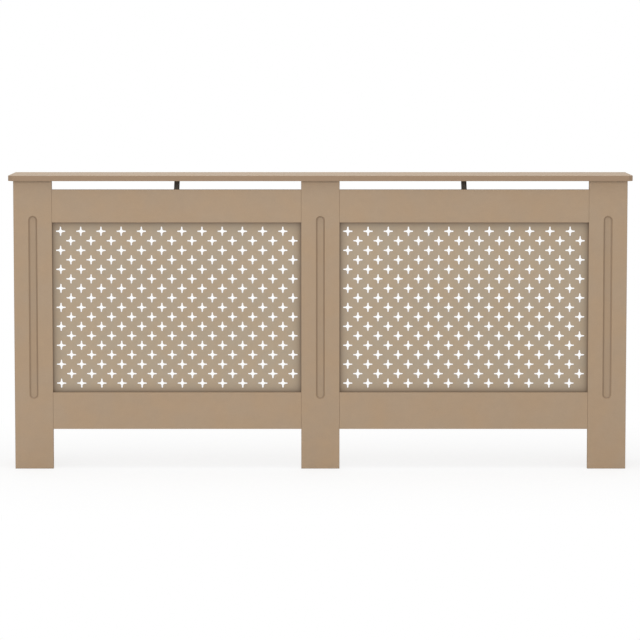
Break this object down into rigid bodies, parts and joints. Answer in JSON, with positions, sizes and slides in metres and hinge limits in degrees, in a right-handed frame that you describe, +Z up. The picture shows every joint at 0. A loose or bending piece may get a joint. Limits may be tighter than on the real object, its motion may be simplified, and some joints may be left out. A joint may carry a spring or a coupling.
{
  "type": "radiator cover cabinet",
  "caption": "Wide free-standing cover for a wall radiator: a shelf on a fluted frame with two star-pierced grilles, open at the back and foot.",
  "frame": {"origin": "on the floor, under the middle of the top board", "axes": "+X to the right along the front, +Y back towards the wall, +Z up"},
  "size_m": [1.72, 0.19, 0.815],
  "materials": {
    "bare_mdf": "bare sanded MDF",
    "grille_board": "bare pierced MDF sheet",
    "black_steel": "black satin coat on steel strap",
    "zinc": "bright zinc plate",
    "beech": "plain beech dowel"
  },
  "bodies": {
    "root": {"centre_stile": "bare_mdf", "left_bottom_rail": "bare_mdf", "left_bottom_rail_left_dowel_1": "beech", "left_bottom_rail_left_dowel_2": "beech", "left_bottom_rail_right_dowel_1": "beech", "left_bottom_rail_right_dowel_2": "beech", "left_brace": "black_steel", "left_brace_board_screw": "black_steel", "left_brace_rail_screw": "black_steel", "left_front_cam_1": "zinc", "left_front_cam_1_bolt": "zinc", "left_front_cam_2": "zinc", "left_front_cam_2_bolt": "zinc", "left_grille": "grille_board", "left_side_panel": "bare_mdf", "left_stile": "bare_mdf", "left_top_cam_1": "zinc", "left_top_cam_1_bolt": "zinc", "left_top_cam_2": "zinc", "left_top_cam_2_bolt": "zinc", "left_top_rail": "bare_mdf", "left_top_rail_left_dowel_1": "beech", "left_top_rail_left_dowel_2": "beech", "left_top_rail_right_dowel_1": "beech", "left_top_rail_right_dowel_2": "beech", "left_wall_bracket": "zinc", "left_wall_bracket_screw_1": "zinc", "left_wall_bracket_screw_2": "zinc", "right_bottom_rail": "bare_mdf", "right_bottom_rail_left_dowel_1": "beech", "right_bottom_rail_left_dowel_2": "beech", "right_bottom_rail_right_dowel_1": "beech", "right_bottom_rail_right_dowel_2": "beech", "right_brace": "black_steel", "right_brace_board_screw": "black_steel", "right_brace_rail_screw": "black_steel", "right_front_cam_1": "zinc", "right_front_cam_1_bolt": "zinc", "right_front_cam_2": "zinc", "right_front_cam_2_bolt": "zinc", "right_grille": "grille_board", "right_side_panel": "bare_mdf", "right_stile": "bare_mdf", "right_top_cam_1": "zinc", "right_top_cam_1_bolt": "zinc", "right_top_cam_2": "zinc", "right_top_cam_2_bolt": "zinc", "right_top_rail": "bare_mdf", "right_top_rail_left_dowel_1": "beech", "right_top_rail_left_dowel_2": "beech", "right_top_rail_right_dowel_1": "beech", "right_top_rail_right_dowel_2": "beech", "right_wall_bracket": "zinc", "right_wall_bracket_screw_1": "zinc", "right_wall_bracket_screw_2": "zinc", "top_board": "bare_mdf"}
  },
  "joints": []
}
